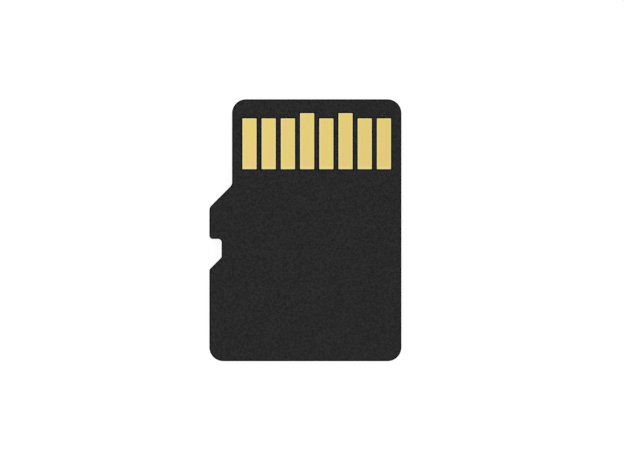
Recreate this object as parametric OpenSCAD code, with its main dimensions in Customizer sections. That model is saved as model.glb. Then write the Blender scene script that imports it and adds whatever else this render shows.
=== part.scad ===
// Removable flash memory card: a thin circuit board with eight gold contacts, its chips
// stacked on the hidden side of the board, and a moulded cover over them with a finger lip.
//
// The card lies with its contacts upwards and its label side down. The leading edge is
// towards +Y and the latch notch is on the -X side. The origin is under the middle of the
// card, at the height of the finger lip.

/* [Card] */
// Width across the rear of the card
card_w = 11; // [10.6:0.1:12]
// Length from the leading edge to the rear edge
card_l = 15; // [14.8:0.1:17]
// Thickness ahead of the finger lip
card_t = 0.7; // [0.66:0.01:0.9]
// Radius of the four outer corners
corner_r = 0.8; // [0.4:0.05:1.2]
// Radius along the lower edges of the moulded cover
edge_r = 0.08; // [0.04:0.01:0.09]

/* [Shoulder] */
// Width of the nose that carries the contacts
nose_w = 9.7; // [9.4:0.1:10.2]
// Leading edge to the foot of the sloping shoulder
shoulder_foot = 6.2; // [5.8:0.1:7]
// Radius at both ends of the shoulder
shoulder_r = 0.4; // [0.2:0.05:0.6]

/* [Latch notch] */
// Leading edge to the square side of the notch
notch_start = 8; // [7.6:0.1:8.8]
// Depth of the notch from the side of the card
notch_depth = 0.7; // [0.5:0.05:0.9]
// Length of the floor of the notch
notch_floor = 1.05; // [0.9:0.05:1.6]
// Radius of the corners of the notch
notch_r = 0.2; // [0.1:0.02:0.3]

/* [Finger lip] */
// Rise of the lip from the label face
lip_rise = 0.3; // [0.15:0.05:0.5]
// Rear edge to the foot of the lip, on its middle line
lip_l = 1.85; // [1.2:0.05:2.5]
// Radius of the curved foot of the lip, seen in plan
lip_arc_r = 30; // [20:1:60]
// Run of the slope from the label face to the top of the lip
lip_slope = 0.25; // [0.1:0.05:0.5]

/* [Contacts] */
// Distance from one contact to the next
contact_pitch = 1.1; // [1.05:0.01:1.15]
// Width of a contact
contact_w = 0.8; // [0.7:0.01:0.85]
// Length of a short contact
contact_l = 2.9; // [2.4:0.05:3.2]
// Leading edge to the short contacts
contact_lead = 1.1; // [1:0.01:1.3]
// How much further the two supply contacts reach towards the leading edge
contact_extra = 0.3; // [0.2:0.01:0.4]
// Gap between a contact and the solder mask round it
contact_gap = 0.05; // [0.02:0.01:0.08]
// Depth of the contacts below the face of the solder mask
contact_recess = 0.01; // [0.005:0.005:0.03]

/* [Board] */
// Thickness of the bare board
board_t = 0.14; // [0.1:0.01:0.18]
// Thickness of the copper on either side of the board
copper_t = 0.02; // [0.01:0.005:0.03]
// Bevel of the solder mask along the edge of the card
mask_bevel = 0.03; // [0.01:0.005:0.06]
// Diameter of the filled holes that carry the contacts through the board
via_d = 0.16; // [0.12:0.02:0.2]
// Width of a copper trace
trace_w = 0.06; // [0.04:0.01:0.08]
// Width of the bond finger at the end of a trace
finger_w = 0.12; // [0.1:0.01:0.14]
// Length of a bond finger
finger_l = 0.3; // [0.24:0.02:0.36]

/* [Memory chips] */
// Number of memory chips in the stack
memory_count = 4; // [2:1:4]
// Moulding between the memory chips and the sides of the card, measured at the notch's floor
memory_side = 0.55; // [0.45:0.05:0.9]
// Moulding between the memory stack and the rear edge
memory_rear = 0.6; // [0.4:0.05:1.2]
// Thickness of a memory chip
memory_t = 0.06; // [0.04:0.005:0.065]
// Setback of each chip from the one below it, which leaves a strip for the bond wires
memory_step = 0.3; // [0.26:0.02:0.36]
// Thickness of the adhesive film that holds each chip
film_t = 0.015; // [0.01:0.005:0.02]

/* [Controller chip] */
// Width of the controller chip
controller_w = 3.4; // [3.1:0.1:4]
// Length of the controller chip
controller_l = 2; // [1.6:0.1:2.2]
// Thickness of the controller chip
controller_t = 0.12; // [0.08:0.01:0.2]

/* [Capacitors and resistors] */
// Length of a chip capacitor over its end caps
passive_l = 0.6; // [0.5:0.02:0.7]
// Width and height of a chip capacitor
passive_w = 0.3; // [0.25:0.01:0.34]
// Height of a chip resistor
resistor_t = 0.23; // [0.2:0.01:0.26]
// Length of each metal end cap
end_cap_l = 0.15; // [0.1:0.01:0.2]
// Thickness of the solder under an end cap
solder_t = 0.015; // [0.01:0.005:0.02]

/* [Bond wires] */
// Diameter of a bond wire
wire_d = 0.025; // [0.018:0.001:0.03]
// Height of the loop over the chip that the wire starts from
wire_loop = 0.06; // [0.05:0.005:0.07]
// Diameter of the ball at the chip end of a bond wire
ball_d = 0.05; // [0.04:0.002:0.06]

/* [Hidden] */
contact_count = 8;
supply_contacts = [4, 6];
bus_count = 10;
capacitor_count = 4;
resistor_count = 2;

// Moulding between the outer bond pads of a chip and its sides, and from its bonded edge
pad_margin = 0.2;
pad_inset = memory_step / 2;
memory_pad_pitch = 0.45;
// Sideways offset between the wire that ends on a bond pad and the one that starts there
wire_offset = 0.04;
// Edge of a chip to its bond fingers, and the lengths over which the traces spread out
finger_gap = 0.2;
bus_fan_l = 0.4;
contact_fan_l = 1.25;
// Copper round the rim of a filled hole, and the hole from the leading end of a short contact
land_rim = 0.05;
via_setback = 0.25;
window_margin = 0.05;
passive_gap = 0.35;
passive_pitch = 0.65;
// How far an end cap stands out over the ceramic, and the land over the end cap
cap_lap = 0.01;
land_lap = 0.03;
ball_t = 0.012;
neck_t = 0.008;
// Where along its run, and how high against its loop, a bond wire starts to fall
fall_from = 0.5;
fall_height = 0.85;

// Largest turn between two points of a rounded corner, in degrees, the sides of a small round,
// and the steps of a rounded edge
arc_step = 4.5;
small_round = 12;
edge_steps = 4;
wire_sides = 6;
lip_round = 360;
rounded_share = 0.45;
// Overshoot of a cut past the face that it opens
past = 0.05;

right = card_w / 2;
left = -right;
front = card_l / 2;
rear = -front;
nose_left = right - nose_w;
nose_middle = right - nose_w / 2;
shoulder_y = front - shoulder_foot;
notch_y = front - notch_start;
notch_x = left + notch_depth;

// Heights, from the lip at the bottom to the contact face at the top
mask_t = copper_t + contact_recess;
label_z = lip_rise;
face_z = label_z + card_t;
board_top = face_z - mask_t;
board_bottom = board_top - board_t;
copper_bottom = board_bottom - copper_t;
chip_z = board_bottom - mask_t;

// Places along the card, from the contacts back to the memory chips, which fill the rest
contact_front = front - contact_lead;
via_y = contact_front - via_setback;
contact_fingers_y = via_y - contact_fan_l - finger_l;
controller_front = contact_fingers_y - finger_gap;
controller_y = controller_front - controller_l;
passive_y = (controller_y + controller_front) / 2;
bus_fingers_y = controller_y - finger_gap - finger_l;
memory_fingers_y = bus_fingers_y - bus_fan_l - finger_l;
stack_front = memory_fingers_y - finger_gap;
memory_l = stack_front - rear - memory_rear - (memory_count - 1) * memory_step;
memory_x = (notch_x + right) / 2;
memory_w = right - notch_x - 2 * memory_side;

// Chips hang under their films, and each memory chip steps back from the one before it
level_t = film_t + memory_t;
controller_face = chip_z - film_t - controller_t;
function level_top(level) = chip_z - (level - 1) * level_t;
function level_rear(level) = rear + memory_rear + (memory_count - level) * memory_step;
function level_front(level) = level_rear(level) + memory_l;

// Places across the card, in rows that are centred on the nose
function in_row(index, count, pitch) = nose_middle + (index - (count - 1) / 2) * pitch;
function contact_x(number) = in_row(number - 1, contact_count, contact_pitch);
function contact_tip(number) =
    contact_front + (len(search(number, supply_contacts)) > 0 ? contact_extra : 0);
function controller_pitch(count) = (controller_w - 2 * pad_margin) / (count - 1);
function contact_finger_x(number) = in_row(number - 1, contact_count, controller_pitch(contact_count));
function bus_controller_x(index) = in_row(index, bus_count, controller_pitch(bus_count));
function bus_memory_x(index) = in_row(index, bus_count, memory_pad_pitch);

// Capacitors and resistors stand on either side of the controller, numbered outwards on each
passive_half = (capacitor_count + resistor_count) / 2;
passive_places = [
    for (side = [-1, 1], i = [0:passive_half - 1])
        nose_middle + side * (controller_w / 2 + passive_gap + i * passive_pitch)
];
land_l = end_cap_l + 2 * land_lap;
function land_y(side) = passive_y + side * (passive_l - end_cap_l) / 2;

// The rounding at either end of the shoulder takes less than half of its 45 degree slope
shoulder_w = card_w - nose_w;
slope_l = shoulder_w * sqrt(2);
shoulder_round = min(shoulder_r, rounded_share * slope_l / tan(45 / 2));

// Corners of the card in plan, anticlockwise from the front right: x, y and radius
CORNERS = [
    [right, front, corner_r],
    [nose_left, front, corner_r],
    [nose_left, shoulder_y + shoulder_w, shoulder_round],
    [left, shoulder_y, shoulder_round],
    [left, notch_y, notch_r],
    [notch_x, notch_y, notch_r],
    [notch_x, notch_y - notch_floor, notch_r],
    [left, notch_y - notch_floor - notch_depth, notch_r],
    [left, rear, corner_r],
    [right, rear, corner_r]
];

function unit(v) = v / norm(v);
function left_of(v) = [-v[1], v[0]];
function turned(v, angle) = [v[0] * cos(angle) - v[1] * sin(angle), v[0] * sin(angle) + v[1] * cos(angle)];
function turn_between(a, b) = atan2(a[0] * b[1] - a[1] * b[0], a * b);
function plan(corner) = [corner[0], corner[1]];

// One rounded corner as points on its arc, drawn an inset inside the true outline
function rounded_corner(before, corner, after, inset) =
    let (
        arriving = unit(plan(corner) - plan(before)),
        leaving = unit(plan(after) - plan(corner)),
        turn = turn_between(arriving, leaving),
        signed_r = sign(turn) * corner[2],
        start = plan(corner) - arriving * corner[2] * tan(abs(turn) / 2),
        centre = start + signed_r * left_of(arriving),
        steps = ceil(abs(turn) / arc_step)
    )
    [for (i = [0:steps]) centre - (signed_r - inset) * left_of(turned(arriving, turn * i / steps))];

function card_outline(inset = 0) =
    let (n = len(CORNERS))
    [
        for (i = [0:n - 1])
            each rounded_corner(CORNERS[(i + n - 1) % n], CORNERS[i], CORNERS[(i + 1) % n], inset)
    ];

// Side walls between rings of n points each, as triangles that face outwards
function ring_walls(rings, n) = [
    for (k = [0:rings - 2], i = [0:n - 1])
        let (a = k * n + i, b = k * n + (i + 1) % n)
        each [[a, a + n, b], [b, a + n, b + n]]
];

// End faces as fans. Every point of the card's outline can be seen from its first one.
function first_end(n) = [for (i = [1:n - 2]) [0, i, i + 1]];
function last_end(rings, n) = [for (i = [1:n - 2]) [0, i + 1, i] + [1, 1, 1] * (rings - 1) * n];

module rings_solid(rings) {
    n = len(rings[0]);
    polyhedron(
        points = [for (ring = rings) each ring],
        faces = concat(first_end(n), ring_walls(len(rings), n), last_end(len(rings), n))
    );
}

// The card's outline carried up through levels, each a height and an inset
module outline_loft(levels) {
    rings_solid([for (level = levels) [for (p = card_outline(level[1])) [p[0], p[1], level[0]]]]);
}

// Levels of a rounded lower edge, from the flat face below it to the wall above it
function rounded_foot(z) = [
    for (i = [0:edge_steps])
        let (angle = 90 * i / edge_steps)
        [z + edge_r * (1 - cos(angle)), edge_r * (1 - sin(angle))]
];

module outline_plate(bottom, top) {
    translate([0, 0, bottom])
        linear_extrude(top - bottom)
            polygon(card_outline());
}

// A block from one corner to the opposite one
module block(low, high) {
    translate(low)
        cube(high - low);
}

module bond_finger(x, y) {
    translate([x - finger_w / 2, y])
        square([finger_w, finger_l]);
}

// A straight trace, seen in plan
module trace(from, to) {
    side = left_of(unit(to - from)) * trace_w / 2;
    polygon([from + side, from - side, to - side, to + side]);
}

// One contact is one piece of copper: the plated pad, its filled hole, and a trace to its bond finger
module contact(number) {
    x = contact_x(number);
    finger_x = contact_finger_x(number);
    color("#e5cf7d")
        union() {
            block(
                [x - contact_w / 2, contact_front - contact_l, board_top],
                [x + contact_w / 2, contact_tip(number), board_top + copper_t]
            );
            translate([x, via_y, copper_bottom])
                cylinder(h = board_top - copper_bottom, d = via_d, $fn = small_round);
            translate([0, 0, copper_bottom])
                linear_extrude(copper_t) {
                    translate([x, via_y])
                        circle(via_d / 2 + land_rim, $fn = small_round);
                    trace([finger_x, contact_fingers_y + finger_l - finger_w / 2], [x, via_y]);
                    bond_finger(finger_x, contact_fingers_y);
                }
        }
}

module bus_traces() {
    color("#c9894f")
        translate([0, 0, copper_bottom])
            linear_extrude(copper_t)
                for (i = [0:bus_count - 1])
                    bus_trace(i);
}

module bus_trace(index) {
    bond_finger(bus_memory_x(index), memory_fingers_y);
    trace(
        [bus_memory_x(index), memory_fingers_y + finger_l - finger_w / 2],
        [bus_controller_x(index), bus_fingers_y + finger_w / 2]
    );
    bond_finger(bus_controller_x(index), bus_fingers_y);
}

module circuit_board() {
    color("#1f2421")
        difference() {
            outline_plate(board_bottom, board_top);
            for (number = [1:contact_count])
                translate([contact_x(number), via_y, board_bottom - past])
                    cylinder(h = board_t + 2 * past, d = via_d, $fn = small_round);
        }
}

// The black coat round the contacts, which is the face of the card
module contact_side_mask() {
    color("#29292a")
        difference() {
            outline_loft([[board_top, 0], [face_z, mask_bevel]]);
            for (number = [1:contact_count])
                let (half = contact_w / 2 + contact_gap)
                block(
                    [contact_x(number) - half, contact_front - contact_l - contact_gap, board_top - past],
                    [contact_x(number) + half, contact_tip(number) + contact_gap, face_z + past]
                );
        }
}

// Openings in the hidden mask over a row of bond fingers, from the first finger's middle to the last one's
module finger_window(first_x, last_x, y, bottom, top) {
    side = finger_w / 2 + window_margin;
    block(
        [first_x - side, y - window_margin, bottom],
        [last_x + side, y + finger_l + window_margin, top]
    );
}

module mask_windows(bottom, top) {
    last = bus_count - 1;
    finger_window(bus_memory_x(0), bus_memory_x(last), memory_fingers_y, bottom, top);
    finger_window(bus_controller_x(0), bus_controller_x(last), bus_fingers_y, bottom, top);
    finger_window(contact_finger_x(1), contact_finger_x(contact_count), contact_fingers_y, bottom, top);
    side = passive_w / 2 + land_lap + window_margin;
    for (x = passive_places)
        block(
            [x - side, land_y(-1) - land_l / 2 - window_margin, bottom],
            [x + side, land_y(1) + land_l / 2 + window_margin, top]
        );
}

module chip_side_mask() {
    color("#2f4a36")
        difference() {
            outline_plate(chip_z, board_bottom);
            mask_windows(chip_z - past, board_bottom + past);
            board_copper();
        }
}

// Both ends of every capacitor and resistor, as a block lapping out past the end cap
module at_end_caps(lap, bottom, top) {
    for (x = passive_places, side = [-1, 1])
        block(
            [x - passive_w / 2 - lap, land_y(side) - end_cap_l / 2 - lap, bottom],
            [x + passive_w / 2 + lap, land_y(side) + end_cap_l / 2 + lap, top]
        );
}

module passive_lands() {
    color("#c9894f")
        at_end_caps(land_lap, copper_bottom, board_bottom);
}

module solder_joints() {
    color("silver")
        at_end_caps(0, copper_bottom - solder_t, copper_bottom);
}

// A ceramic block with a metal cap at either end
module passive(place, height) {
    top = copper_bottom - solder_t;
    half_w = passive_w / 2;
    half_l = passive_l / 2;
    translate([passive_places[place], passive_y, 0]) {
        block(
            [cap_lap - half_w, cap_lap - half_l, top - height + cap_lap],
            [half_w - cap_lap, half_l - cap_lap, top - cap_lap]
        );
        for (side = [-1, 1])
            translate([0, side * (half_l - end_cap_l / 2), 0])
                block([-half_w, -end_cap_l / 2, top - height], [half_w, end_cap_l / 2, top]);
    }
}

module capacitor(number) {
    color("#8a6a4c")
        union() passive(number - 1, passive_w);
}

module resistor(number) {
    color("#1c1c20")
        union() passive(capacitor_count + number - 1, resistor_t);
}

module memory_film(level) {
    color("#d8cfa8")
        block(
            [memory_x - memory_w / 2, level_rear(level), level_top(level) - film_t],
            [memory_x + memory_w / 2, level_front(level), level_top(level)]
        );
}

module memory_chip(level) {
    color("#5d6068")
        block(
            [memory_x - memory_w / 2, level_rear(level), level_top(level) - level_t],
            [memory_x + memory_w / 2, level_front(level), level_top(level) - film_t]
        );
}

module controller_film() {
    color("#d8cfa8")
        block(
            [nose_middle - controller_w / 2, controller_y, chip_z - film_t],
            [nose_middle + controller_w / 2, controller_front, chip_z]
        );
}

module controller_chip() {
    color("#6b6f78")
        block(
            [nose_middle - controller_w / 2, controller_y, controller_face],
            [nose_middle + controller_w / 2, controller_front, chip_z - film_t]
        );
}

// A bond wire, drawn in its own upright plane as [along the run, away from the board]. It leaves its
// ball straight, bends over and falls to the finger. Both ends lie flat on what they are bonded to.
function mitre(arriving, leaving) = (left_of(arriving) + left_of(leaving)) / (1 + arriving * leaving);

module bond_wire(from, to) {
    run = norm(plan(to) - plan(from));
    along = unit(plan(to) - plan(from));
    fall = fall_from * run;
    path = [
        [0, 0], [0, ball_t], [0, ball_t + neck_t], [0, wire_loop],
        [fall, wire_loop * fall_height], [run, from[2] - to[2]]
    ];
    bend = unit(path[4] - path[3]);
    drop = unit(path[5] - path[4]);
    flat = [-1, 0];
    across = [flat, flat, flat, mitre([0, 1], bend), mitre(bend, drop), [1, 0] / abs(drop[1])];
    radii = [ball_d, ball_d, wire_d, wire_d, wire_d, wire_d] / 2;
    rings_solid([
        for (i = [0:len(path) - 1])
            [for (k = [wire_sides - 1:-1:0])
                let (
                    angle = k * 360 / wire_sides,
                    point = path[i] + radii[i] * sin(angle) * across[i],
                    side = radii[i] * cos(angle)
                )
                [
                    from[0] + along[0] * point[0] - along[1] * side,
                    from[1] + along[1] * point[0] + along[0] * side,
                    from[2] - point[1]
                ]
            ]
    ]);
}

// From each memory chip the wires step down to the chip before it, and from the first to the board
module memory_wires(level) {
    face = level_top(level) - level_t;
    to_y = level == 1 ? memory_fingers_y + finger_l / 2 : level_front(level - 1) - pad_inset;
    to_z = level == 1 ? copper_bottom : face + level_t;
    color("gold")
        for (i = [0:bus_count - 1])
            bond_wire(
                [bus_memory_x(i) - wire_offset, level_front(level) - pad_inset, face],
                [bus_memory_x(i) + wire_offset, to_y, to_z]
            );
}

module controller_bus_wires() {
    color("gold")
        for (i = [0:bus_count - 1])
            bond_wire(
                [bus_controller_x(i), controller_y + pad_inset, controller_face],
                [bus_controller_x(i), bus_fingers_y + finger_l / 2, copper_bottom]
            );
}

module controller_contact_wires() {
    color("gold")
        for (number = [1:contact_count])
            bond_wire(
                [contact_finger_x(number), controller_front - pad_inset, controller_face],
                [contact_finger_x(number), contact_fingers_y + finger_l / 2, copper_bottom]
            );
}

module board_copper() {
    for (number = [1:contact_count])
        contact(number);
    bus_traces();
    passive_lands();
}

// Everything that the moulding flows round
module chips_and_wires() {
    for (level = [1:memory_count]) {
        memory_film(level);
        memory_chip(level);
        memory_wires(level);
    }
    controller_film();
    controller_chip();
    controller_bus_wires();
    controller_contact_wires();
    solder_joints();
    for (number = [1:capacitor_count])
        capacitor(number);
    for (number = [1:resistor_count])
        resistor(number);
}

// The raised end of the label side, with a slope up to it that follows a wide arc
module finger_lip() {
    top = label_z + edge_r;
    intersection() {
        outline_loft(concat(rounded_foot(0), [[top, 0]]));
        translate([0, rear + lip_l - lip_arc_r, 0])
            rotate_extrude($fn = lip_round)
                polygon([
                    [0, 0], [lip_arc_r - lip_slope, 0], [lip_arc_r, label_z], [lip_arc_r, top], [0, top]
                ]);
    }
}

module moulded_cover() {
    color("#262627")
        difference() {
            union() {
                outline_loft(concat(rounded_foot(label_z), [[chip_z, 0]]));
                finger_lip();
                mask_windows(chip_z, board_bottom);
            }
            board_copper();
            chips_and_wires();
        }
}

moulded_cover();
circuit_board();
contact_side_mask();
chip_side_mask();
for (i = [1:contact_count])
    contact(i);
bus_traces();
passive_lands();
solder_joints();
for (i = [1:capacitor_count])
    capacitor(i);
for (i = [1:resistor_count])
    resistor(i);
controller_film();
controller_chip();
controller_bus_wires();
controller_contact_wires();
for (i = [1:memory_count]) {
    memory_film(i);
    memory_chip(i);
    memory_wires(i);
}
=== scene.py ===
"""Looks of a removable memory card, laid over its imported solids. Lengths are in metres.

The card lies with its contacts up, its leading edge towards +Y and its latch notch towards -X.
"""
import math

import bpy
import numpy as np
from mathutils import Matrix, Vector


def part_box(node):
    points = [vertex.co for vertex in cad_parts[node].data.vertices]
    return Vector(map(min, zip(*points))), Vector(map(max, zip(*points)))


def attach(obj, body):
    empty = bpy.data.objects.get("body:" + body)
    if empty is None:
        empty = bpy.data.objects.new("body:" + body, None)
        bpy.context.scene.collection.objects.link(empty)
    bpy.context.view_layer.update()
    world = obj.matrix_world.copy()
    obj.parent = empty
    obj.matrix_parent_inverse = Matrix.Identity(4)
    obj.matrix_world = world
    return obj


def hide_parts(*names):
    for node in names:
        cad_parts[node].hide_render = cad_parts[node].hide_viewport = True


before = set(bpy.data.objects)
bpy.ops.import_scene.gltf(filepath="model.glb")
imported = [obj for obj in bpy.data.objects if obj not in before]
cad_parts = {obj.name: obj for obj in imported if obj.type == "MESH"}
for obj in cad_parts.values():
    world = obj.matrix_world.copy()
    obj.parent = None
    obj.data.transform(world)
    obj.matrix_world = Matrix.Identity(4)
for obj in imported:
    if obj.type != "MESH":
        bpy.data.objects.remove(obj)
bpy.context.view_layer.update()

MM = 0.001

# The photograph's frame in pixels, the card's scale in it, and the pixel at the card's middle
PHOTO_W = 624
PHOTO_H = 460
PIXELS_PER_MM = 17.463
CARD_PIXEL = (305.38, 230.23)

# Sides and heights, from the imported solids
(LEFT, REAR, _), (RIGHT, FRONT, BOARD_TOP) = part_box("circuit_board")
FACE_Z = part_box("contact_side_mask")[1][2]
CONTACT_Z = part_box("contact_1")[1][2]

# The outline, as in the solids
NOSE_W = 9.7 * MM
CORNER_R = 0.8 * MM
SHOULDER_FOOT = 6.2 * MM
SHOULDER_R = 0.4 * MM
NOTCH_START = 8 * MM
NOTCH_DEPTH = 0.7 * MM
NOTCH_FLOOR = 1.05 * MM
NOTCH_R = 0.2 * MM
ARC_STEPS = 32

# The contacts, as in the solids
NUMBERS = np.arange(1, 9)
SUPPLY_CONTACTS = np.array([4, 6])
CONTACT_PITCH = 1.1 * MM
CONTACT_W = 0.8 * MM
CONTACT_L = 2.9 * MM
CONTACT_GAP = 0.05 * MM
CONTACT_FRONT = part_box("contact_1")[1][1]
SUPPLY_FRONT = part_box(f"contact_{SUPPLY_CONTACTS[0]}")[1][1]
CONTACT_REAR = CONTACT_FRONT - CONTACT_L

# Rounded edges of the solder mask, round the card and round each window
RIM_ACROSS = 0.007 * MM
RIM_DOWN = 0.02 * MM
WINDOW_R = 0.008 * MM
ROUND_STEPS = 5
# Strips of the flat face beside them, over which the mask's painted shade fades out
RIM_STRIP = 0.09 * MM
WINDOW_STRIP = 0.025 * MM

# Gold plating over a contact: its thickness, corners, rolled edge and the strip inside that, over
# which its painted highlight fades out
PLATING_T = 0.003 * MM
PLATING_CORNER_R = 0.03 * MM
ROLLED_W = 0.02 * MM
ROLLED_H = 0.008 * MM
PAINTED_HIGHLIGHT_STRIP = 0.08 * MM

# Angle between faces past which an edge of the solids stays sharp, and the gap that a weld closes
SHARP_ANGLE = math.radians(32)
WELD_GAP = 1e-4 * MM

NOSE_LEFT = RIGHT - NOSE_W
NOSE_MIDDLE = RIGHT - NOSE_W / 2
SHOULDER_Y = FRONT - SHOULDER_FOOT
NOTCH_Y = FRONT - NOTCH_START
NOTCH_X = LEFT + NOTCH_DEPTH

# Corners in plan, anticlockwise from the front right: x, y and radius
CORNERS = np.array([
    (RIGHT, FRONT, CORNER_R),
    (NOSE_LEFT, FRONT, CORNER_R),
    (NOSE_LEFT, SHOULDER_Y + NOSE_LEFT - LEFT, SHOULDER_R),
    (LEFT, SHOULDER_Y, SHOULDER_R),
    (LEFT, NOTCH_Y, NOTCH_R),
    (NOTCH_X, NOTCH_Y, NOTCH_R),
    (NOTCH_X, NOTCH_Y - NOTCH_FLOOR, NOTCH_R),
    (LEFT, NOTCH_Y - NOTCH_FLOOR - NOTCH_DEPTH, NOTCH_R),
    (LEFT, REAR, CORNER_R),
    (RIGHT, REAR, CORNER_R),
])
# Corners after which the outline runs straight back along the nose, and straight forward to it
NOSE_SIDE = 1
LONG_SIDE = 9


def contact_x(numbers):
    """Middles of contacts: the nose's middle, and a pitch for each number past the mean one."""
    return NOSE_MIDDLE + (numbers - NUMBERS.mean()) * CONTACT_PITCH


def unit(vectors):
    """Vectors divided by their lengths."""
    return vectors / np.linalg.norm(vectors, axis=-1, keepdims=True)


def left_of(vectors):
    """Vectors turned a quarter turn anticlockwise: (x, y) becomes (-y, x)."""
    return np.stack([-vectors[..., 1], vectors[..., 0]], axis=-1)


def rounded_outline(corners, inset, steps, marks=None):
    """Points along a closed outline with rounded corners, anticlockwise, drawn an inset inside it.

    Each corner is an arc: its centre less (signed radius - inset) times the left-hand normal of a
    heading that turns evenly from the arriving edge to the leaving one. marks maps a corner to
    heights y, at which points are added on the straight edge that leaves it.
    """
    plan, radius = corners[:, :2], corners[:, 2]
    arriving = unit(plan - np.roll(plan, 1, axis=0))
    leaving = unit(np.roll(plan, -1, axis=0) - plan)
    cross = arriving[:, 0] * leaving[:, 1] - arriving[:, 1] * leaving[:, 0]
    turn = np.arctan2(cross, np.sum(arriving * leaving, axis=1))
    signed_r = np.sign(turn) * radius
    start = plan - arriving * (radius * np.tan(np.abs(turn) / 2))[:, None]
    centre = start + signed_r[:, None] * left_of(arriving)
    share = np.linspace(0, 1, steps + 1)
    heading = np.arctan2(arriving[:, 1], arriving[:, 0])[:, None] + turn[:, None] * share
    normal = left_of(np.stack([np.cos(heading), np.sin(heading)], axis=-1))
    arcs = centre[:, None] - (signed_r - inset)[:, None, None] * normal
    stretches = []
    for corner, arc in enumerate(arcs):
        stretches.append(arc)
        if marks and corner in marks:
            x = plan[corner, 0] + inset * left_of(leaving[corner])[0]
            stretches.append(np.stack([np.full(len(marks[corner]), x), marks[corner]], axis=-1))
    return np.concatenate(stretches)


def at_height(plan, z):
    """Points (x, y) as (x, y, z)."""
    return np.insert(plan, 2, z, axis=-1)


def rounded_edge(top_z, across, down):
    """Heights and insets along a quarter ellipse, from the wall up to the flat top.

    At each angle from 0 to 90 degrees, the height is the top less down times (1 - its sine), and
    the inset is across times (1 - its cosine).
    """
    angle = np.linspace(0, math.pi / 2, ROUND_STEPS + 1)
    return list(zip(top_z - down * (1 - np.sin(angle)), across * (1 - np.cos(angle))))


class Shell:
    """Collects the points and faces of one mesh."""

    def __init__(self):
        self.points = []
        self.edge = []
        self.faces = []
        self.count = 0

    def add(self, points, edge):
        """Adds an array of points and gives their indices, in the same layout.

        edge is 1 on an edge, where the mask gets painted shade and the gold a painted highlight,
        and 0 away from it.
        """
        first = self.count
        self.points.append(points.reshape(-1, 3))
        self.count += len(self.points[-1])
        self.edge.append(np.full(self.count - first, edge, np.float32))
        return np.arange(first, self.count).reshape(points.shape[:-1])

    def walls(self, rings):
        """Quads between closed rings, facing outwards where the rings run anticlockwise upwards."""
        rings = np.array(rings)
        after = np.roll(rings, -1, axis=1)
        quads = np.stack([rings[:-1], after[:-1], after[1:], rings[1:]], axis=-1)
        self.faces += quads.reshape(-1, 4).tolist()

    def face(self, loop, up=True):
        """One flat face round an anticlockwise loop of indices, or its underside."""
        self.faces.append([int(index) for index in (loop if up else loop[::-1])])

    def cells(self, row, keep, up):
        """Quads between the two edges of a row, rear and front, where keep is true."""
        quads = np.stack([row[0, :-1], row[0, 1:], row[1, 1:], row[1, :-1]], axis=-1)[keep]
        self.faces += (quads if up else quads[:, ::-1]).tolist()

    def mesh(self, name):
        """The mesh, smooth but for its sharp edges, with the edge values as an attribute."""
        mesh = bpy.data.meshes.new(name)
        mesh.from_pydata(np.concatenate(self.points).tolist(), [], self.faces)
        edge = mesh.attributes.new("edge", "FLOAT", "POINT")
        edge.data.foreach_set("value", np.concatenate(self.edge))
        mesh.polygons.foreach_set("use_smooth", np.ones(len(mesh.polygons), bool))
        mesh.set_sharp_from_angle(angle=SHARP_ANGLE)
        return mesh


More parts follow.
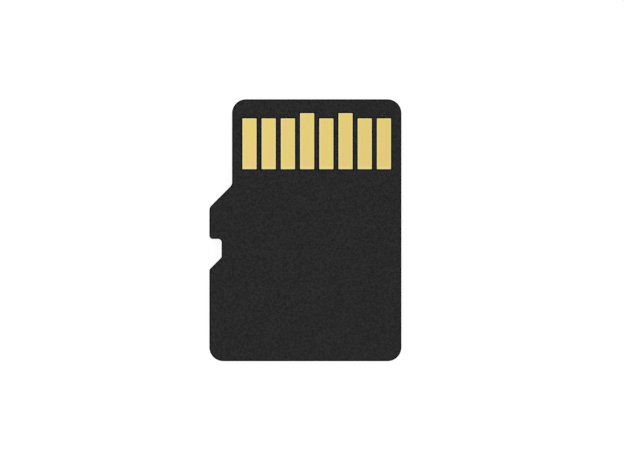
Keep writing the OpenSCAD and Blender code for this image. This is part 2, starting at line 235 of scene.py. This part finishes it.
def solder_mask_face():
    """The contact side's black coat: the outline carried over a rounded rim, and eight windows.

    The flat face is a row of cells from side to side, less those that are windows, and one face
    each behind and ahead of it, of which the front one goes round the longer windows' ends. Each
    window is a profile carried round its rectangle, from a flat strip over a rounded edge down to
    the board.
    """
    shell = Shell()
    half = CONTACT_W / 2 + CONTACT_GAP
    rear_y = CONTACT_REAR - CONTACT_GAP
    short_y = CONTACT_FRONT + CONTACT_GAP
    long_y = SUPPLY_FRONT + CONTACT_GAP
    widest = WINDOW_R + WINDOW_STRIP
    row_ends = np.array([rear_y - widest, short_y + widest])
    marks = {NOSE_SIDE: row_ends[::-1], LONG_SIDE: row_ends}

    def ring(z, inset, edge=1):
        """The card's outline at a height, drawn an inset inside it."""
        return shell.add(at_height(rounded_outline(CORNERS, inset, ARC_STEPS, marks), z), edge)

    rim = [ring(BOARD_TOP, 0)]
    rim += [ring(z, inset) for z, inset in rounded_edge(FACE_Z, RIM_ACROSS, RIM_DOWN)]
    rim.append(ring(FACE_Z, RIM_ACROSS + RIM_STRIP, edge=0))
    shell.walls(rim)

    # Places of the marked points in a ring: rear and front on the nose side and on the long side
    nose_front, nose_rear = (NOSE_SIDE + 1) * (ARC_STEPS + 1) + np.arange(2)
    long_rear, long_front = len(rim[0]) - 2 + np.arange(2)
    # Cells of the row, of which every second one is a window
    is_mask = np.arange(2 * len(NUMBERS) + 1) % 2 == 0

    def window_points(z, spread):
        """Corners of the windows, moved outwards by a spread.

        They are given as the row's two edges, with two corners to a window, and the longer ends.
        """
        def corners(numbers, ys):
            """Both sides of each numbered window, at each y."""
            x = contact_x(numbers)[:, None] + np.array([-1, 1]) * (half + spread)
            plan = np.stack(np.meshgrid(x.ravel(), ys), axis=-1)
            return shell.add(at_height(plan, z), edge=spread < widest)

        row = corners(NUMBERS, [rear_y - spread, short_y + spread])
        ends = corners(SUPPLY_CONTACTS, [long_y + spread])[0]
        return row, ends

    def plate(outer, windows, up):
        """A flat face from a ring to the windows: the row of cells, and the faces beside it."""
        inner, ends = windows
        nose_side, long_side = outer[[nose_rear, nose_front]], outer[[long_rear, long_front]]
        row = np.column_stack([nose_side, inner, long_side])
        shell.cells(row, is_mask, up)
        # The row's front edge, which turns out round each longer end after the window's left corner
        round_ends = np.insert(row[1], np.repeat(2 * SUPPLY_CONTACTS, 2), ends)
        shell.face([*outer[nose_rear + 1:long_rear], *row[0, ::-1]], up)
        shell.face([*outer[:nose_front], *round_ends], up)

    def window_loop(windows, number):
        """The corners of one window, anticlockwise."""
        (rear_edge, front_edge), ends = windows
        left, right = 2 * number - 2, 2 * number - 1
        tip = ends.reshape(-1, 2)[SUPPLY_CONTACTS == number, ::-1].ravel()
        return [rear_edge[left], rear_edge[right], front_edge[right], *tip, front_edge[left]]

    levels = [(FACE_Z, widest), *rounded_edge(FACE_Z, WINDOW_R, WINDOW_R)[::-1], (BOARD_TOP, 0)]
    windows = [window_points(z, spread) for z, spread in levels]
    plate(rim[-1], windows[0], up=True)
    plate(rim[0], windows[-1], up=False)
    for number in NUMBERS:
        shell.walls([window_loop(level, number) for level in windows])
    return shell.mesh("solder_mask_face")


def plating(number):
    """Gold over one contact: a rectangle with rounded corners carried up over a rolled edge.

    A ring that is inset past the corners' radius has a radius of its own, a little over its inset.
    """
    half = CONTACT_W / 2 + PLATING_T
    left, right = contact_x(number) - half, contact_x(number) + half
    rear = CONTACT_REAR - PLATING_T
    front = (SUPPLY_FRONT if number in SUPPLY_CONTACTS else CONTACT_FRONT) + PLATING_T
    plan = np.array([(right, front), (left, front), (left, rear), (right, rear)])
    top = CONTACT_Z + PLATING_T
    shell = Shell()

    def ring(z, inset, edge=1):
        """The rectangle at a height, drawn an inset inside it."""
        radius = max(PLATING_CORNER_R, inset + PLATING_T)
        corners = np.insert(plan, 2, radius, axis=1)
        return shell.add(at_height(rounded_outline(corners, inset, ROUND_STEPS), z), edge)

    rings = [ring(BOARD_TOP, 0)]
    rings += [ring(z, inset) for z, inset in rounded_edge(top, ROLLED_W, ROLLED_H)]
    rings.append(ring(top, ROLLED_W + PAINTED_HIGHLIGHT_STRIP, edge=0))
    shell.walls(rings)
    shell.face(rings[0], up=False)
    shell.face(rings[-1])
    return shell.mesh(f"plating_{number}")


class Value:
    """An output of a node. Python's operators on it add Math nodes."""

    def __init__(self, graph, socket):
        self.graph = graph
        self.socket = socket

    def __add__(self, other):
        return self.graph.math("ADD", self, other)

    def __sub__(self, other):
        return self.graph.math("SUBTRACT", self, other)

    def __rsub__(self, other):
        return self.graph.math("SUBTRACT", other, self)

    def __mul__(self, other):
        return self.graph.math("MULTIPLY", self, other)

    __radd__ = __add__
    __rmul__ = __mul__


class Graph:
    """A node tree that starts empty, and the ways to add to it."""

    def __init__(self, tree):
        self.tree = tree
        tree.nodes.clear()

    def node(self, kind, settings=None, inputs=None, output=0):
        """Any node: its type, its settings, which are set first, and its sockets' values or links.

        It gives the output that is named or numbered, or None where the node has no output.
        """
        node = self.tree.nodes.new(kind)
        for key, value in (settings or {}).items():
            setattr(node, key, value)
        for key, value in (inputs or {}).items():
            if isinstance(value, Value):
                self.tree.links.new(value.socket, node.inputs[key])
            else:
                node.inputs[key].default_value = value
        return Value(self, node.outputs[output]) if node.outputs else None

    def math(self, operation, *values):
        """A Math node's result, from its operation and the values or numbers that it takes."""
        return self.node("ShaderNodeMath", {"operation": operation}, dict(enumerate(values)))

    def background_rays(self):
        """1 for rays that see the background: from the camera, by reflection or through glass."""
        seen, reflected, refracted = (
            self.node("ShaderNodeLightPath", output=f"Is {kind} Ray")
            for kind in ("Camera", "Glossy", "Transmission")
        )
        return self.math("MAXIMUM", seen, self.math("MAXIMUM", reflected, refracted))


class Finish(Graph):
    """A material, and the patterns that it is made of."""

    def __init__(self, name):
        self.material = bpy.data.materials.new(name)
        self.material.use_nodes = True
        super().__init__(self.material.node_tree)

    def surface(self, shader):
        """The finished material, with a shader on its surface."""
        self.node("ShaderNodeOutputMaterial", inputs={"Surface": shader})
        return self.material

    def principled(self, **inputs):
        """The finished material, from the sockets' values, with underscores for their spaces."""
        sockets = {name.replace("_", " "): value for name, value in inputs.items()}
        return self.surface(self.node("ShaderNodeBsdfPrincipled", inputs=sockets))

    def mix(self, factor, first, second):
        """A blend from the first colour, where the factor is 0, to the second, where it is 1."""
        # A Mix node's sockets 6 and 7 take its two colours, and its output 2 gives their blend
        ends = {6: first, 7: second}
        colors = {key: end if isinstance(end, Value) else (*end, 1) for key, end in ends.items()}
        return self.node("ShaderNodeMix", {"data_type": "RGBA"}, {0: factor, **colors}, output=2)

    def step(self, value, low, high):
        """Rises from 0 to 1 as a value goes from low to high: three squares less two cubes."""
        inputs = {"Value": value, "From Min": low, "From Max": high}
        return self.node("ShaderNodeMapRange", {"interpolation_type": "SMOOTHSTEP"}, inputs)

    def millimetres(self, stretch=(1, 1, 1)):
        """Object coordinates in millimetres, stretched along each axis."""
        place = self.node("ShaderNodeTexCoord", output="Object")
        scale = tuple(amount / MM for amount in stretch)
        return self.node("ShaderNodeVectorMath", {"operation": "MULTIPLY"}, {0: place, 1: scale})

    def axis(self, name):
        """One object coordinate, in millimetres."""
        return self.node("ShaderNodeSeparateXYZ", inputs={0: self.millimetres()}, output=name)

    def edge(self):
        """1 on the edges of a piece of this script, and 0 away from them."""
        return self.node("ShaderNodeAttribute", {"attribute_name": "edge"}, output="Fac")

    def noise(self, scale, detail=2.0, stretch=(1, 1, 1), roughness=0.5):
        """Soft noise from 0 to 1, with about scale lumps to the millimetre."""
        place = self.millimetres(stretch)
        inputs = {"Vector": place, "Scale": scale, "Detail": detail, "Roughness": roughness}
        return self.node("ShaderNodeTexNoise", inputs=inputs)

    def relief(self, height, depth):
        """A bump over the surface, from a height of 0 to 1 and its depth in metres."""
        return self.node("ShaderNodeBump", inputs={"Height": height, "Distance": depth})


def black_mask():
    """Matte black solder mask: a fine even grain, and painted shade along its edges."""
    f = Finish("black_solder_mask")
    grain = f.noise(8.3, detail=2, stretch=(1, 1.12, 1), roughness=0.6)
    dust = f.noise(38, detail=3, roughness=0.6)
    clouds = f.noise(0.9, detail=2)
    tone = f.step(grain * 0.78 + dust * 0.16 + clouds * 0.06, 0.35, 0.65)
    open_face = f.mix(tone, (0.0098, 0.0098, 0.0098), (0.0236, 0.0235, 0.0235))
    # Painted shade: the mask turns near black along the card's rim and round each window.
    painted_shade_edge = f.step(f.edge(), 0.1, 0.3)
    return f.principled(
        Base_Color=f.mix(painted_shade_edge, open_face, (0.0012, 0.0011, 0.0010)),
        Roughness=grain * 0.15 + 0.5,
        Specular_IOR_Level=0.1,
        Normal=f.relief(grain * 0.7 + dust * 0.3, 0.004 * MM),
    )


def gold_plating():
    """Pale gold in faint lengthwise streaks, with a painted highlight along its edges, paler the
    most at its rear end, and a little painted shade towards the card's right.
    """
    f = Finish("gold_plating")
    brushed = f.noise(9, detail=3, stretch=(1, 0.03, 1), roughness=0.6)
    bands = f.noise(4.0, detail=2, stretch=(1, 0.05, 1))
    speckle = f.noise(14, detail=3)
    warm = f.mix(f.step(bands, 0.35, 0.65), (0.747, 0.624, 0.162), (0.785, 0.569, 0.232))
    # Painted shade: the darker tone gains a little towards the card's right, over the darker
    # brushing
    dark = f.step(brushed, 0.3, 0.7) * 0.3 + f.axis("X") * 0.04 + 0.04
    toned = f.mix(dark, warm, (0.690, 0.540, 0.165))
    fade_start, fade_end = ((CONTACT_REAR + ahead) / MM for ahead in (0.03 * MM, 0.2 * MM))
    rear_end = 1 - f.step(f.axis("Y"), fade_start, fade_end)
    # Painted highlight along the edges, joined with the paler rear end
    pale = f.math("MAXIMUM", f.step(f.edge(), 0.1, 0.9), rear_end)
    return f.principled(
        Base_Color=f.mix(pale * 0.9, toned, (0.762, 0.680, 0.330)),
        Metallic=1.0,
        Roughness=brushed * 0.12 + 0.27,
        Normal=f.relief(brushed * 0.7 + speckle * 0.3, 0.0012 * MM),
    )


def moulding():
    """Black moulding compound: a spark-eroded grain with pale filler specks."""
    f = Finish("black_moulding")
    grain = f.noise(9, detail=5, roughness=0.65)
    inputs = {"Vector": f.millimetres(), "Scale": 12.0}
    pits = f.node("ShaderNodeTexVoronoi", {"feature": "SMOOTH_F1"}, inputs, "Distance")
    specks = f.step(f.noise(30, detail=1), 0.70, 0.78)
    base = f.mix(f.step(grain, 0.3, 0.7), (0.0090, 0.0090, 0.0093), (0.0165, 0.0165, 0.0170))
    return f.principled(
        Base_Color=f.mix(specks * 0.5, base, (0.045, 0.045, 0.046)),
        Roughness=grain * 0.16 + 0.52,
        Specular_IOR_Level=0.3,
        Normal=f.relief(grain * 0.6 + pits * 0.4, 0.010 * MM),
    )


def laminate():
    """Dark glass cloth laminate: layers along its sawn edge, broken by the ends of fibres."""
    f = Finish("board_laminate")
    # In radians to the millimetre, which gives a layer every 0.048 mm
    layer_turn = 130
    layers = f.math("SINE", f.axis("Z") * layer_turn) * 0.5 + 0.5
    fibres = f.noise(16, detail=3, stretch=(1, 1, 3.5), roughness=0.7)
    below_top = f.step(BOARD_TOP / MM - f.axis("Z"), 0.002, 0.012)
    pale = f.step(layers * 0.4 + fibres * 0.6, 0.45, 0.75) * below_top
    return f.principled(
        Base_Color=f.mix(pale, (0.0026, 0.0020, 0.0008), (0.0300, 0.0310, 0.0240)),
        Roughness=0.65,
        Specular_IOR_Level=0.1,
        Normal=f.relief(fibres, 0.006 * MM),
    )


def green_mask():
    """The thinner solder mask inside, between the board and the moulding."""
    f = Finish("green_solder_mask")
    grain = f.noise(7, detail=3)
    tone = f.step(grain, 0.3, 0.7)
    return f.principled(
        Base_Color=f.mix(tone, (0.0100, 0.0230, 0.0130), (0.0180, 0.0410, 0.0230)),
        Roughness=0.4,
        Specular_IOR_Level=0.3,
        Normal=f.relief(grain, 0.003 * MM),
    )


def metal(name, dark, light, roughness, grain_scale):
    """Plain metal with a fine mottled grain."""
    f = Finish(name)
    grain = f.noise(grain_scale, detail=3)
    return f.principled(
        Base_Color=f.mix(f.step(grain, 0.3, 0.7), dark, light),
        Metallic=1.0,
        Roughness=grain * 0.12 + roughness,
        Normal=f.relief(grain, 0.002 * MM),
    )


def silicon():
    """Ground silicon: grey, with fine curved grinding marks."""
    f = Finish("ground_silicon")
    rings = {"wave_type": "RINGS", "rings_direction": "Z"}
    inputs = {"Vector": f.millimetres(), "Scale": 4.0, "Distortion": 1.5, "Detail": 2.0}
    marks = f.node("ShaderNodeTexWave", rings, inputs, "Fac")
    grain = f.noise(5, detail=4)
    return f.principled(
        Base_Color=f.mix(marks * 0.5 + grain * 0.5, (0.120, 0.126, 0.145), (0.205, 0.215, 0.240)),
        Metallic=0.35,
        Roughness=marks * 0.1 + 0.28,
        Normal=f.relief(marks, 0.0008 * MM),
    )


def adhesive_film():
    """Straw-coloured die attach film, slightly cloudy."""
    f = Finish("adhesive_film")
    clouds = f.noise(3, detail=4)
    return f.principled(
        Base_Color=f.mix(clouds, (0.54, 0.47, 0.30), (0.70, 0.64, 0.46)),
        Roughness=0.5,
        Normal=f.relief(clouds, 0.002 * MM),
    )


def tinned_ceramic(name, node, dark, light, end_cap_l=0.15 * MM):
    """A ceramic body between two tinned ends, told apart by the distance from its middle."""
    rear, front = (corner[1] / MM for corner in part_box(node))
    body_half = (front - rear) / 2 - end_cap_l / MM
    f = Finish(name)
    from_middle = f.math("ABSOLUTE", f.axis("Y") - (rear + front) / 2)
    # The tin blends in over twice this many millimetres
    blend = 0.004
    tinned = f.step(from_middle, body_half - blend, body_half + blend)
    grain = f.noise(20, detail=4, roughness=0.6)
    tin = f.mix(grain, (0.50, 0.51, 0.53), (0.68, 0.69, 0.70))
    return f.principled(
        Base_Color=f.mix(tinned, f.mix(grain, dark, light), tin),
        Metallic=tinned,
        Roughness=grain * 0.2 + 0.35,
        Normal=f.relief(grain, 0.004 * MM),
    )


def dress(material, *nodes):
    """Gives a material to the objects of CAD nodes."""
    for node in nodes:
        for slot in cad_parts[node].material_slots:
            slot.material = material


def numbered(stem):
    """The names of the nodes stem_1, stem_2 and so on."""
    return [
        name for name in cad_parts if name.rpartition("_")[0] == stem and name[-1].isdigit()
    ]


def dress_sealed_pieces():
    """Finishes for the pieces sealed in the card."""
    copper = metal("bare_copper", (0.62, 0.28, 0.14), (0.80, 0.42, 0.24), 0.3, 12)
    solder = metal("dull_solder", (0.48, 0.49, 0.51), (0.66, 0.67, 0.69), 0.3, 14)
    gold = metal("drawn_gold", (0.74, 0.54, 0.17), (0.86, 0.67, 0.26), 0.18, 25)
    dress(copper, "bus_traces", "passive_lands")
    dress(solder, "solder_joints")
    dress(gold, "controller_bus_wires", "controller_contact_wires", *numbered("memory_wires"))
    dress(adhesive_film(), "controller_film", *numbered("memory_film"))
    dress(silicon(), "controller_chip", *numbered("memory_chip"))
    for node in numbered("capacitor"):
        tan = tinned_ceramic(f"tan_{node}", node, (0.25, 0.15, 0.09), (0.40, 0.27, 0.17))
        dress(tan, node)
    for node in numbered("resistor"):
        black = tinned_ceramic(f"black_{node}", node, (0.012, 0.012, 0.015), (0.03, 0.03, 0.036))
        dress(black, node)


def smooth_by_angle():
    """A modifier's nodes: they weld a CAD node's loose triangles and smooth all but sharp edges."""
    tree = bpy.data.node_groups.new("smooth_by_angle", "GeometryNodeTree")
    for way in ("INPUT", "OUTPUT"):
        tree.interface.new_socket("Geometry", in_out=way, socket_type="NodeSocketGeometry")
    g = Graph(tree)
    triangles = g.node("NodeGroupInput")
    bare = g.node(
        "GeometryNodeRemoveAttribute", inputs={"Geometry": triangles, "Name": "custom_normal"}
    )
    welded = g.node(
        "GeometryNodeMergeByDistance", inputs={"Geometry": bare, "Distance": WELD_GAP}
    )
    smooth = g.node("GeometryNodeSetShadeSmooth", inputs={"Geometry": welded})
    angle = g.node("GeometryNodeInputMeshEdgeAngle", output="Unsigned Angle")
    sharp = g.math("GREATER_THAN", angle, SHARP_ANGLE)
    inputs = {"Geometry": smooth, "Selection": sharp, "Shade Smooth": False}
    finished = g.node("GeometryNodeSetShadeSmooth", {"domain": "EDGE"}, inputs)
    g.node("NodeGroupOutput", inputs={"Geometry": finished})
    return tree


def dress_moulding_and_board():
    """Finishes for the larger CAD nodes, whose rounded edges shade smoothly beside even flats."""
    smooth = smooth_by_angle()
    materials = (moulding(), laminate(), green_mask())
    for node, material in zip(("moulded_cover", "circuit_board", "chip_side_mask"), materials):
        dress(material, node)
        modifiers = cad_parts[node].modifiers
        modifiers.new("smooth_by_angle", "NODES").node_group = smooth
        modifiers.new("even_flats", "WEIGHTED_NORMAL").keep_sharp = True


def place(mesh, material, slot, *replaced):
    """Puts a mesh on the card's one body, with its finish, in place of any CAD nodes named."""
    mesh.materials.append(material)
    piece = bpy.data.objects.new(mesh.name, mesh)
    bpy.context.collection.objects.link(piece)
    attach(piece, "root")
    if replaced:
        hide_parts(*replaced)


def dress_contact_side():
    """The solder mask with its windows, and the plated contacts in them."""
    place(solder_mask_face(), black_mask(), "black_mask", "contact_side_mask")
    gold = gold_plating()
    for number in NUMBERS:
        place(plating(number), gold, "gold_plate")
        dress(gold, f"contact_{number}")


def make_camera(lens=100.0, sensor=36.0):
    """Straight down on the contact side, framed as the photograph is. Lens and sensor are in mm."""
    data = bpy.data.cameras.new("camera")
    data.lens = lens
    data.sensor_width = sensor
    data.clip_start = 1 * MM
    camera = bpy.data.objects.new("camera", data)
    bpy.context.collection.objects.link(camera)
    right = (PHOTO_W / 2 - CARD_PIXEL[0]) / PIXELS_PER_MM * MM
    up = (CARD_PIXEL[1] - PHOTO_H / 2) / PIXELS_PER_MM * MM
    distance = PHOTO_W / PIXELS_PER_MM * MM * lens / sensor
    camera.location = ((LEFT + RIGHT) / 2 + right, (REAR + FRONT) / 2 + up, FACE_Z + distance)
    bpy.context.scene.camera = camera


def make_world(light=0.825):
    """Even light from all round, and a background that is seen as white."""
    world = bpy.data.worlds.new("world")
    bpy.context.scene.world = world
    world.use_nodes = True
    g = Graph(world.node_tree)
    strength = g.background_rays() * (1 - light) + light
    sky = g.node("ShaderNodeBackground", inputs={"Color": (1, 1, 1, 1), "Strength": strength})
    g.node("ShaderNodeOutputWorld", inputs={"Surface": sky})


def make_floor(half_side=0.5, glow=0.84, seen_white=0.26, lit_white=0.8):
    """A plain white floor, which glows enough to be seen as white and keeps a faint shadow."""
    f = Finish("white_floor")
    glowing = f.node("ShaderNodeEmission", inputs={"Strength": glow})
    seen, lit = (
        f.node("ShaderNodeBsdfDiffuse", inputs={"Color": (white, white, white, 1)})
        for white in (seen_white, lit_white)
    )
    shown = f.node("ShaderNodeAddShader", inputs={0: glowing, 1: seen})
    inputs = {0: f.background_rays(), 1: lit, 2: shown}
    material = f.surface(f.node("ShaderNodeMixShader", inputs=inputs))
    mesh = bpy.data.meshes.new("floor")
    signs = ((-1, -1), (1, -1), (1, 1), (-1, 1))
    corners = [(x * half_side, y * half_side, 0) for x, y in signs]
    mesh.from_pydata(corners, [], [(0, 1, 2, 3)])
    mesh.materials.append(material)
    floor = bpy.data.objects.new("floor", mesh)
    bpy.context.collection.objects.link(floor)


def make_softbox(name, bearing, elevation, distance, side, power):
    """A square lamp turned to the card, at a bearing clockwise from +Y and an elevation.

    Both are in degrees. Its place is the distance times the elevation's cosine, times the bearing's
    sine across and its cosine ahead. Its height is the distance times the elevation's sine.
    """
    around, up = math.radians(bearing), math.radians(elevation)
    data = bpy.data.lights.new(name, "AREA")
    data.shape = "SQUARE"
    data.size = side
    data.energy = power
    lamp = bpy.data.objects.new(name, data)
    bpy.context.collection.objects.link(lamp)
    ground = distance * math.cos(up)
    lamp.location = (ground * math.sin(around), ground * math.cos(around), distance * math.sin(up))
    lamp.rotation_euler = (math.pi / 2 - up, 0, math.pi - around)


make_camera()
make_world()
make_floor()
make_softbox("key_softbox", bearing=-60, elevation=45, distance=0.2, side=0.24, power=0.06)
make_softbox("fill_softbox", bearing=110, elevation=35, distance=0.22, side=0.2, power=0.035)
dress_sealed_pieces()
dress_moulding_and_board()
dress_contact_side()

bpy.context.scene.view_settings.view_transform = "Standard"
